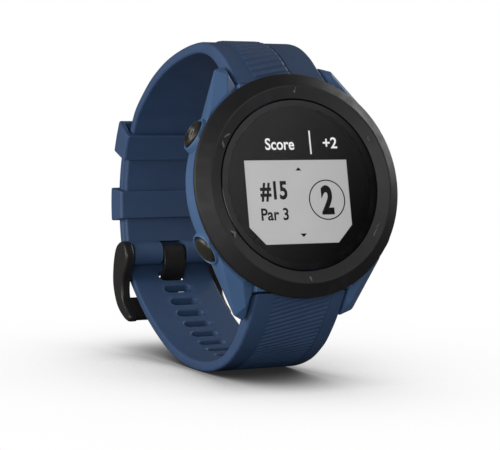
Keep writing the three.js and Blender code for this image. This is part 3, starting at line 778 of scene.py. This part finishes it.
# ---------------------------------------------------------------- buttons
def button_cap(place_name, angle):
    """A domed cap; the upper left one is flat with a raised rim and carries a power symbol."""
    rim, face = BUTTON_R, BUTTON_FACE
    if place_name == "upper_left":
        head = [(rim, face - 2.8), (rim, face - 0.45), (rim - 0.35, face - 0.02), (rim - 0.62, face - 0.02),
                (rim - 0.85, face - 0.42), (0, face - 0.36)]
        radii = [0.12, 0.3, 0.16, 0.12, 0.12, 0]
    else:
        head = [(rim, face - 2.8), (rim, face - 0.85), (rim - 0.3, face - 0.42), (rim - 1.2, face - 0.1),
                (0, face)]
        radii = [0.12, 0.35, 0.5, 1.2, 0]
    stem = [(0, 15.9), (BUTTON_STEM_R, 15.9), (BUTTON_STEM_R, 20.4)]
    profile = fillet(stem + head, [0, 0.1, 0.1] + radii, 5)
    body = f"button_{place_name}"
    cap = place(lathe("button_cap_" + place_name, profile, 96), button_matrix(angle))
    dress(cap, gunmetal, body, [body])
    if place_name == "upper_left":
        power = place(power_symbol(face - 0.45, face - 0.3),
                      button_matrix(angle) @ Matrix.Rotation(math.pi / 2, 4, "Y"))
        dress(turn_out(power), icon_paint, body)


def power_symbol(low, high):
    """The common symbol: an open ring with a stroke in its gap."""
    outer_r, inner_r, steps = 0.92, 0.72, 40
    turns = [math.radians(125 + 290 * k / steps) for k in range(steps + 1)]
    arc = [(outer_r * math.cos(t), outer_r * math.sin(t)) for t in turns]
    arc += [(inner_r * math.cos(t), inner_r * math.sin(t)) for t in reversed(turns)]
    stroke = rounded_rect(0.1, 0.45, 0.09, (0, 0.75), 4)
    return join_meshes("power_symbol", [prism("arc", arc, low, high, "y", 0.03, 2),
                                        prism("stroke", stroke, low, high, "y", 0.03, 2)])


# ---------------------------------------------------------------- case back
def case_back():
    """The back plate, with a stepped hole for each screw and an opening for the charging socket."""
    plate = lathe("case_back_plate", fillet([
        (0, -1.6), (13.2, -1.6), (13.2, -3.0), (BACK_SEAT_R - 0.2, -3.0), (BACK_SEAT_R - 0.2, -1.5),
        (19.2, -1.5), (19.2, -0.9), (18.1, 0), (0, 0),
    ], [0, 0, 0.1, 0.1, 0, 0.1, 0.3, 0.5, 0], 4), 180)
    bore = [(0, -4), (SCREW_HOLE_R, -4), (SCREW_HOLE_R, -0.75), (1.4, -0.75), (1.4, -0.15), (1.6, 0.1),
            (0, 0.1)]
    cutters = [place(lathe("bore", bore, 48), spot) for spot in screw_spots()]
    cutters.append(prism("port", rounded_rect(4.2, 2.2, 1.2, (0, PORT_Z)), -4, 1, "y", 0.1, 2))
    combine(plate, cutters)
    dress(plate, back_polymer, stands_for=["case_back"])


def charge_socket():
    """The rubber socket with its row of contacts."""
    socket = prism("charge_port", rounded_rect(4.05, 2.05, 1.1, (0, PORT_Z)), -4.6, -0.3, "y", 0.15, 3)
    tools = [prism("recess", rounded_rect(3.4, 1.4, 0.8, (0, PORT_Z)), -1.5, 1, "y", 0.15, 3)]
    for x in CONTACT_XS:
        tools.append(prism("hole", circle(CONTACT_HOLE_R, (x, PORT_Z), 32), -5, 0, "y", 0.05, 1))
    combine(socket, tools)
    dress(socket, rubber, stands_for=["charge_socket"])
    pin = fillet([(0, -4.9), (CONTACT_R, -4.9), (CONTACT_R, -1.1), (0.25, -0.95), (0, -0.95)],
                 [0, 0.05, 0.1, 0.1, 0], 4)
    for index, x in enumerate(CONTACT_XS, 1):
        contact = place(lathe(f"port_contact_{index}", pin, 40), Matrix.Translation((x, 0, PORT_Z)))
        dress(contact, gold, stands_for=[f"charge_contact_{index}"])


def case_screws():
    """Four screws, each with a six-lobed drive."""
    profile = fillet([(0, -7.0), (0.6, -7.0), (0.6, -0.65), (1.2, -0.65), (1.2, -0.3), (0.9, -0.12),
                      (0, -0.12)], [0, 0.15, 0.05, 0.08, 0.15, 0.1, 0], 4)
    star, corners = [], 72
    for k in range(corners):
        turn = 2 * math.pi * k / corners
        radius = 0.5 + 0.09 * math.cos(6 * turn)
        star.append((radius * math.cos(turn), radius * math.sin(turn)))
    for index, spot in enumerate(screw_spots(), 1):
        screw = lathe(f"case_back_screw_{index}", profile, 48)
        combine(screw, [prism("drive", star, -0.5, 0.2, "y", 0.02, 1)])
        dress(place(screw, spot), black_metal, stands_for=[f"case_screw_{index}"])


# ---------------------------------------------------------------- straps
def rear_arc(radius, low, high, steps):
    turns = [math.radians(low + (high - low) * k / steps) for k in range(steps + 1)]
    return [(REAR_CENTRE[0] + radius * math.cos(t), REAR_CENTRE[1] + radius * math.sin(t)) for t in turns]


UPPER_OUTER = [
    (-9.0, 20.3), (-6.0, 23.6), (-2.4, 27.5), (1.6, 30.4), (6.4, 32.3), (12.0, 33.2), (18.5, 33.5),
    (25.0, 33.2), (31.2, 32.2), (37.4, 30.4),
] + rear_arc(REAR_INNER_R + STRAP_THICK, 54, -5, 7) + [(56.85, -4.4)]
LOWER_OUTER = [
    (-9.0, -20.3), (-5.1, -24.7), (-1.1, -28.2), (2.8, -30.7), (9.0, -32.9), (17.6, -33.5),
    (27.4, -31.8), (37.2, -27.8), (47.1, -20.9), (53.9, -14.1), (58.7, -7.7),
] + rear_arc(TAIL_INNER_R + STRAP_THICK, -6, TAIL_END_DEG, 6)


def spline_point(p0, p1, p2, p3, t):
    """A place on the smooth curve from p1 to p2, whose slope at each follows its neighbours."""
    v0, v1 = (p2 - p0) / 2, (p3 - p1) / 2
    return (2 * p1 - 2 * p2 + v0 + v1) * t ** 3 + (3 * p2 - 3 * p1 - 2 * v0 - v1) * t * t + v0 * t + p1


class Path:
    """A smooth line through points of the Y-Z plane, read by its length."""

    def __init__(self, through, fine=60):
        pts = np.array(through, float)
        padded = np.vstack([pts[0], pts, pts[-1]])
        line = [spline_point(*padded[i:i + 4], k / fine) for i in range(len(pts) - 1) for k in range(fine)]
        self.line = np.array(line + [pts[-1]])
        self.marks = np.r_[0, np.cumsum(np.linalg.norm(np.diff(self.line, axis=0), axis=1))]
        self.length = float(self.marks[-1])

    def at(self, s):
        return np.stack([np.interp(s, self.marks, self.line[:, k]) for k in (0, 1)], -1)

    def along(self, s, reach=0.35):
        step = self.at(np.minimum(s + reach, self.length)) - self.at(np.maximum(s - reach, 0))
        return step / np.linalg.norm(step, axis=-1, keepdims=True)


def smooth_step(value, low, high):
    t = np.clip((value - low) / (high - low), 0, 1)
    return t * t * (3 - 2 * t)


END_S = np.array([0, 4.7, 8, 12, 18, 24.0])
END_THICK = np.array([7.6, 4.9, 3.5, 3.0, 2.5, STRAP_THICK])


def band_stations(length, fine_end):
    """The places of a band's sections along it: close together up to fine_end and at the rounded ends."""
    start = STRAP_START_ROUND * (1 - np.cos(np.linspace(0, math.pi / 2, 6)))
    tip = length - STRAP_TIP_ROUND * (1 - np.sin(np.linspace(0, math.pi / 2, 6)))
    fine = np.arange(0, fine_end, RIDGE_STEP_ALONG)
    fine = fine[fine > STRAP_START_ROUND + 0.02]
    rest = np.arange(fine_end, length - STRAP_TIP_ROUND - 0.05, PLAIN_STEP)
    return np.unique(np.round(np.r_[start, fine, rest, tip], 5))


def end_shrink(s, length):
    """How far a section is drawn in by the rounding at the band's ends."""
    for depth, radius in ((s, STRAP_START_ROUND), (length - s, STRAP_TIP_ROUND)):
        if depth < radius:
            return radius - math.sqrt(max(0.0, radius ** 2 - (radius - depth) ** 2))
    return 0.0


def inward_of(path, s):
    """The direction square to a strap's path, towards the wrist."""
    along = path.along(s)
    normal = np.array([-along[1], along[0]])
    return -normal if np.dot(normal, np.array(REAR_CENTRE) - path.at(s)) < 0 else normal


def strap_band(name, path, ridge):
    """A strap half: a rounded band bent along its path, with diagonal ridges near the case.

    ridge holds pitch, height, sunk, slant, left, right, first, last and grooves, in millimetres."""
    flat_half = STRAP_HALF - STRAP_EDGE
    across = np.arange(-flat_half, flat_half + AXIS_R, RIDGE_STEP_ACROSS)
    under = np.linspace(flat_half, -flat_half, 12)[1:-1]
    quarter = np.linspace(0, math.pi / 2, 5)
    layers = []
    for s in band_stations(path.length, ridge["last"] + 4):
        point = path.at(s)
        thick = float(np.interp(s, END_S, END_THICK))
        blend = float(smooth_step(s, 0.0, STRAIGHT_START))
        inward = inward_of(path, s) * blend + np.array([1.0, 0.0]) * (1 - blend)
        inward /= np.linalg.norm(inward)
        shrink = end_shrink(s, path.length)
        half = STRAP_HALF - shrink
        scale = (half - STRAP_EDGE) / flat_half
        radius = max(0.04, STRAP_EDGE - shrink)
        top = [(x * scale, shrink - ridge_height(x * scale, s, ridge)) for x in across]
        near, far, side = shrink + radius, thick - shrink - radius, half - radius
        right = [(side + radius * math.sin(t), near - radius * math.cos(t)) for t in quarter]
        right_low = [(side + radius * math.cos(t), far + radius * math.sin(t)) for t in quarter]
        low = [(x * scale, thick - shrink) for x in under]
        left = [(-a, d) for a, d in reversed(right + right_low)]
        section = top + right + right_low + low + left
        layers.append([(a, *(point + inward * d)) for a, d in section])
    return turn_out(loft(name, layers), MERGE_GAP)


def ridge_height(x, s, ridge):
    """How far the outer face stands out or is cut in at a place on the band."""
    inside = smooth_step(x, ridge["left"], ridge["left"] + 0.7)
    inside *= 1 - smooth_step(x, ridge["right"] - 0.35, ridge["right"])
    fade = 1 - smooth_step(s, ridge["last"] - 10, ridge["last"])
    first = smooth_step(s, ridge["first"] - 0.8, ridge["first"])
    phase = (s + ridge["slant"] * x) / ridge["pitch"]
    wave = phase - math.floor(phase)
    saw = smooth_step(wave, 0.0, 0.22) * (1 - smooth_step(wave, 0.62, 1.0))
    height = ridge["height"] * (saw - ridge["sunk"]) * inside * fade * first
    for at, deep, width in ridge["grooves"]:
        depth = deep * math.exp(-((x - at) / width) ** 2)
        height -= depth * (1 - smooth_step(s, ridge["last"] - 3, ridge["last"]))
    return float(height)


def rod(name, radius, x0, x1, y, z, segments=48, edge=0.0):
    """A round rod along X."""
    profile = [(0, x0), (radius, x0), (radius, x1), (0, x1)]
    obj = lathe(name, fillet(profile, [0, edge, edge, 0], 4), segments)
    turn = Matrix.Rotation(-math.pi / 2, 4, "Z")
    return place(obj, Matrix.Translation((0, y, z)) @ turn)


def bar_tunnel(side):
    """The strap's tunnel for its spring bar and the opening for the release lever."""
    z = side * BAR_Z
    slot = rounded_rect(1.7, 1.05, 0.35, (LEVER_X - 0.6, z), 4)
    return [rod("tunnel", BAR_TUNNEL_R, -STRAP_HALF - 1, STRAP_HALF + 1, BAR_Y, z),
            prism("lever_slot", slot, BAR_Y, 2.0, "y", 0.05, 1)]


def strap_upper():
    """The buckle half: its end is a roll around the buckle pin, notched for the prong."""
    ridge = {"pitch": 1.9, "height": 0.36, "sunk": 0.0, "slant": -0.30, "left": -5.9, "right": 2.6,
             "first": 1.0, "last": 30.0, "grooves": [(2.95, 0.30, 0.13)]}
    band = strap_band("strap_upper_band", Path(UPPER_OUTER), ridge)
    combine(band, [rod("roll", ROLL_R, -STRAP_HALF, STRAP_HALF, PIN_Y, PIN_Z, 96, 0.45)], "UNION")
    notch = prism("notch", rounded_rect(4.2, 3.45, 0.5, (PIN_Y, PIN_Z - 0.55), 4), -3.0, 3.0, "x", 0.1, 2)
    pin_hole = rod("pin_hole", PIN_HOLE_R, -STRAP_HALF - 1, STRAP_HALF + 1, PIN_Y, PIN_Z)
    combine(band, [notch, pin_hole, *bar_tunnel(1)])
    dress(band, silicone, stands_for=["strap_upper"], angle=40)


def strap_lower():
    """The half with the slots; the prong stands in the first one."""
    ridge = {"pitch": 1.16, "height": 0.26, "sunk": 1.0, "slant": 0.30, "left": -6.0, "right": 6.6,
             "first": 0.3, "last": 40.0, "grooves": [(7.0, 0.26, 0.12)]}
    path = Path(LOWER_OUTER)
    band = strap_band("strap_lower_band", path, ridge)
    cutters = bar_tunnel(-1)
    for index in range(SLOT_COUNT):
        s = path.length - PRONG_SLOT_FROM_TAIL - index * SLOT_PITCH
        shape = (SLOT_HALF_LENGTH, SLOT_TAPER) if index else (PRONG_SLOT_HALF_LENGTH, 0.0)
        cutters.append(slot_cutter(path, s, *shape))
    combine(band, cutters)
    dress(band, silicone, stands_for=["strap_lower"], angle=40)


def slot_cutter(path, s, half_length, taper):
    """A pill-shaped hole through the band whose rims flare out with a rounded edge on both faces."""
    point, along, inward = path.at(s), path.along(s), inward_of(path, s)
    thick = float(np.interp(s, END_S, END_THICK))
    rim = rounded_edge(SLOT_FLARE, 5)
    profile = [(-1.0, SLOT_FLARE)] + rim
    profile += [(thick - depth, flare) for depth, flare in reversed(rim)] + [(thick + 1.0, SLOT_FLARE)]
    outline = rounded_rect(SLOT_HALF_WIDTH, half_length, half_length - 0.02, steps=8)
    layers = []
    for depth, flare in profile:
        narrow = taper * (1 - min(max(depth / thick, 0.0), 1.0))
        flat = inset(outline, narrow - flare)
        layers.append([(x, *(point + along * b + inward * depth)) for x, b in flat])
    return loft("slot", layers)


# ---------------------------------------------------------------- keepers
def keeper(name, node, middle, body):
    """A loop of silicone with rounded edges that follows the strap's curve about the given angle."""
    inner = REAR_INNER_R - LAYER_GAP
    outer = TAIL_INNER_R + STRAP_THICK + LAYER_GAP
    mid_r, half_gap = (inner + outer) / 2, (outer - inner) / 2
    loop_out = rounded_rect(KEEPER_OUT_HALF, half_gap + KEEPER_WALL, 0.7)
    loop_in = rounded_rect(STRAP_HALF + 0.35, half_gap, 0.35)
    half_arc, mid = math.radians(KEEPER_HALF_DEG), math.radians(middle)
    rim = [(-half_arc + depth / mid_r, shift) for depth, shift in rounded_edge(KEEPER_EDGE, 5)]
    between = np.linspace(rim[-1][0], -rim[-1][0], 12)[1:-1]
    levels = rim + [(turn, 0.0) for turn in between] + [(-turn, shift) for turn, shift in reversed(rim)]
    points, faces = [], []
    count = len(loop_out)
    for turn, shift in levels:
        for loop, amount in ((loop_out, shift), (loop_in, -shift)):
            for x, rise in inset(loop, amount):
                radius = mid_r + rise
                points.append((x, REAR_CENTRE[0] + radius * math.cos(mid + turn),
                               REAR_CENTRE[1] + radius * math.sin(mid + turn)))
    last = len(levels) - 1
    for i in range(last):
        for wall in (0, count):
            faces += ring_faces(count, 2 * count * i + wall, 2 * count * (i + 1) + wall)
    for rim_start in (0, 2 * count * last):
        faces += ring_faces(count, rim_start, rim_start + count)
    loop = make_object(name, points, faces)
    dress(loop, silicone, body, [node], angle=40)


# ---------------------------------------------------------------- buckle
def smooth_closed(points, steps=6):
    """A closed outline of short smooth curves through the points."""
    pts = [np.array(p, float) for p in points]
    count = len(pts)
    line = []
    for i in range(count):
        around = [pts[(i + shift) % count] for shift in (-1, 0, 1, 2)]
        line += [tuple(spline_point(*around, k / steps)) for k in range(steps)]
    return line


def buckle_loop():
    """The D-shaped loop: two curved arms and the bar that the prong's tip rests on."""
    side = smooth_closed([
        (51.6, -2.6), (54.2, -1.95), (57.0, -3.1), (59.2, -6.6), (60.2, -11.0), (58.8, -15.6), (55.4, -18.8),
        (52.2, -20.1), (51.15, -18.9), (53.2, -16.9), (54.9, -14.2), (54.2, -10.9), (51.8, -8.2),
        (50.5, -5.4),
    ])
    arms = [prism("arm", side, low, low + ARM_OUT - ARM_IN, "x", 0.62, 6) for low in (-ARM_OUT, ARM_IN)]
    bar_outline = fillet([(55.0, -14.4), (56.8, -14.9), (57.3, -16.5), (55.3, -18.8), (52.3, -19.95),
                          (51.2, -18.9), (53.2, -16.9)], [0.4, 0.4, 0.6, 0.8, 0.5, 0.5, 0.5], 5)
    bar = prism("bar", bar_outline, -ARM_OUT + 0.9, ARM_OUT - 0.9, "x", 0.2, 3)
    loop = arms[0]
    loop.name = "buckle_loop"
    combine(loop, [arms[1], bar], "UNION")
    combine(loop, [rod("pin_hole", PIN_HOLE_R, -PIN_HALF - 0.3, PIN_HALF + 0.3, PIN_Y, PIN_Z)])
    dress(loop, black_metal, "buckle_frame", ["buckle_frame"], angle=35)


def buckle_tongue():
    """The prong: a curved blade with an eye around the pin."""
    path = Path([(52.6, -4.6), (52.8, -7.3), (54.2, -9.3), (56.8, -11.3), (58.3, -13.4), (58.2, -17.2)])
    spots = np.linspace(0, path.length, 44)
    centre_line, heading = path.at(spots), path.along(spots)
    across = np.stack([-heading[:, 1], heading[:, 0]], 1)
    outline = list(map(tuple, centre_line + across * PRONG_THICK / 2))
    outline += list(map(tuple, (centre_line - across * PRONG_THICK / 2)[::-1]))
    half = PRONG_WIDTH / 2
    blade = prism("buckle_tongue", outline, -half, half, "x", 0.3, 4)
    eye = rod("eye", EYE_R, -half, half, PIN_Y, PIN_Z, 72, 0.3)
    combine(blade, [eye], "UNION")
    combine(blade, [rod("eye_hole", PIN_HOLE_R, -half - 1, half + 1, PIN_Y, PIN_Z)])
    dress(blade, black_metal, "buckle_prong", ["buckle_prong"], angle=35)


def buckle_pin():
    """The steel pin that the loop and the prong turn on."""
    pin = rod("buckle_pin_rod", PIN_R, -PIN_HALF, PIN_HALF, PIN_Y, PIN_Z, 48, 0.15)
    dress(pin, steel, stands_for=["buckle_pin"])


# ---------------------------------------------------------------- carried-over nodes
def carried_over():
    """Materials of the CAD nodes that show as they are: the inside and the spring bars."""
    kinds = [("gasket", rubber), ("seal", rubber), ("backlight", white_plastic), ("main_board", board),
             ("gps_antenna", ceramic), ("battery_tray", black_polymer), ("battery", foil), ("clip", steel),
             ("switch", white_plastic), ("spring_bar", steel)]
    for name, node in frame["nodes"].items():
        for key, material in kinds:
            if key in name:
                node.data.materials.clear()
                node.data.materials.append(material)
                break
        if not node.hide_render:
            node.data.shade_smooth()
            node.data.set_sharp_from_angle(angle=math.radians(35))


# ---------------------------------------------------------------- camera, light and floor
CAMERA_YAW = 0.443747
CAMERA_LEAN = 0.193775
CAMERA_RISE = 0.0585292
CAMERA_DISTANCE = 320.0
CAMERA_SIDE = 9.758
CAMERA_DROP = 7.787
CAMERA_LENS = 120.15
FLOOR_TILT = math.radians(11.10)
FLOOR_RADIUS = 420.0
FLOOR_GAP = 0.02
STAGE_CENTRE = Vector((0, 22, 0))
LIGHT_DISTANCE = 330
CARD_DISTANCE = 300
CARD_HALF = 110.0


def camera_axes():
    """Right, up and back directions of the camera in the part's frame."""
    turn = Matrix.Rotation(CAMERA_RISE, 3, "X") @ Matrix.Rotation(CAMERA_YAW, 3, "Y")
    turn = turn @ Matrix.Rotation(-CAMERA_LEAN, 3, "X")
    return [Vector((row[0], -row[2], row[1])) for row in turn]


def camera():
    right, up, back = camera_axes()
    lens_centre = Vector((0, LENS_FRONT_Y, 0))
    spot = lens_centre - right * CAMERA_SIDE - up * CAMERA_DROP + back * CAMERA_DISTANCE
    data = bpy.data.cameras.new("camera")
    data.lens = CAMERA_LENS
    data.sensor_width = 36.0
    data.clip_start = 0.01
    data.clip_end = 10.0
    obj = show("camera", data)
    matrix = Matrix((right, up, back)).transposed().to_4x4()
    matrix.translation = spot * MM
    obj.matrix_world = matrix
    bpy.context.scene.camera = obj


def softbox(name, direction, size, power):
    """A soft square light. The direction is (right, up, back) as the camera sees it."""
    right, up, back = camera_axes()
    away = (right * direction[0] + up * direction[1] + back * direction[2]).normalized()
    data = bpy.data.lights.new(name, "AREA")
    data.shape = "SQUARE"
    data.size = size * MM
    data.energy = power
    obj = show(name, data)
    obj.location = (STAGE_CENTRE + away * LIGHT_DISTANCE) * MM
    obj.rotation_mode = "QUATERNION"
    obj.rotation_quaternion = away.to_track_quat("Z", "Y")


def seen_as(tree, to_camera, to_gloss, to_rest):
    """A strength that differs for what the camera sees, for reflections and for other light."""
    rays = tree.add("LightPath")
    indirect = tree.ramp(rays.outputs["Is Glossy Ray"], to_rest, to_gloss)
    return tree.mix(rays.outputs["Is Camera Ray"], indirect, to_camera, "FLOAT")


def world():
    """Even white surroundings: bright to look at, gentler as a light."""
    made = bpy.data.worlds.new("studio")
    bpy.context.scene.world = made
    tree = Tree(made)
    background = tree.nodes["Background"]
    tree.put(background.inputs["Color"], (1, 1, 1, 1))
    tree.put(background.inputs["Strength"], seen_as(tree, 1.0, 0.10, 0.36))


def openness(tree, reach, normal=None):
    """How little stands within reach of a place, over the floor or over a plane leaning to one side; the
    floor paints its shadow from this.
    """
    node = tree.add("AmbientOcclusion", samples=24)
    tree.put(node.inputs["Distance"], reach)
    if normal:
        tree.put(node.inputs["Normal"], normal)
    return node.outputs["AO"]


def floor():
    """A pale round floor under the strap that fades into the white surroundings, with a painted shadow: its
    glow is darkened near the watch.
    """
    up = Vector((0, -math.sin(FLOOR_TILT), math.cos(FLOOR_TILT)))
    low = min((Vector((0, y, z)).dot(up) for y, z in Path(LOWER_OUTER).line))
    centre = STAGE_CENTRE - up * (STAGE_CENTRE.dot(up) - low + FLOOR_GAP)
    side = Vector((1, 0, 0))
    depth = up.cross(side)
    rings, segments = 40, 96
    points = [tuple(centre)]
    for i in range(1, rings + 1):
        for k in range(segments):
            turn = 2 * math.pi * k / segments
            away = side * math.cos(turn) + depth * math.sin(turn)
            points.append(tuple(centre + away * FLOOR_RADIUS * i / rings))
    faces = [(0, 1 + k, 1 + (k + 1) % segments) for k in range(segments)]
    for i in range(rings - 1):
        faces += [quad[::-1] for quad in ring_faces(segments, 1 + i * segments, 1 + (i + 1) * segments)]
    mesh = new_mesh("floor", points, faces)
    material = bpy.data.materials.new("floor")
    tree = Tree(material, bare=True)
    # Painted shadow: the glow is dimmed where the watch stands close, leaning to the right as if lit from
    # the left.
    leaning = (up * 0.75 - camera_axes()[0] * 0.65).normalized()
    painted_cast_shadow = tree.ramp(openness(tree, 0.110, leaning), 0.30, 1.0, 0.20, 1.0, smooth=True)
    contact = tree.ramp(openness(tree, 0.070), 0.06, 1.0, 0.0, 0.95, smooth=True)
    painted_shadow = tree.math("MULTIPLY", contact, painted_cast_shadow)
    tree.glow(tree.math("MULTIPLY", painted_shadow, seen_as(tree, 1.0, 0.10, 0.35)))
    mesh.materials.append(material)
    show("floor", mesh)


def reflector():
    """A card that only reflections see: it gives the lens its soft sheen towards the upper left."""
    away = Vector((0.455, -0.88, 0.14)).normalized()
    right = away.cross(Vector((0, 0, 1))).normalized()
    up = right.cross(away)
    centre = Vector((0, LENS_FRONT_Y, 0)) + away * CARD_DISTANCE
    signs = ((-1, -1), (1, -1), (1, 1), (-1, 1))
    corners = [tuple(centre + (right * a + up * b) * CARD_HALF) for a, b in signs]
    mesh = new_mesh("reflector", corners, [(0, 1, 2, 3)])
    material = bpy.data.materials.new("reflector")
    tree = Tree(material, bare=True)
    offset = tree.vector("SUBTRACT", tree.where(), centre * MM, "Vector")
    slope = tree.vector("DOT_PRODUCT", offset, (right * 0.8 + up * 0.6).normalized(), "Value")
    tree.glow(tree.ramp(slope, 0.0, 0.9, -0.035, 0.03, smooth=True))
    mesh.materials.append(material)
    obj = show("reflector", mesh)
    obj.visible_camera = False
    obj.visible_diffuse = False
    obj.visible_transmission = False
    obj.visible_shadow = False


# ---------------------------------------------------------------- build
case_body()
bezel()
cover_lens()
display_panel()
score_picture()
for place_name, angle in BUTTON_ANGLES.items():
    button_cap(place_name, angle)
case_back()
case_screws()
charge_socket()
strap_upper()
strap_lower()
keeper("keeper_loop_free", "keeper_free", FREE_KEEPER_DEG, "keeper_free")
keeper("keeper_loop_fixed", "keeper_fixed", FIXED_KEEPER_DEG, "watch_case")
buckle_loop()
buckle_tongue()
buckle_pin()
carried_over()
camera()
world()
floor()
reflector()
softbox("key_left", (-1.0, 0.15, 0.45), 260, 1.05)
softbox("fill_right", (1.0, 0.7, -0.7), 200, 0.5)
softbox("front", (-0.1, -0.05, 1.0), 160, 0.50)

scene = bpy.context.scene
scene.view_settings.view_transform = "Standard"
scene.view_settings.look = "None"
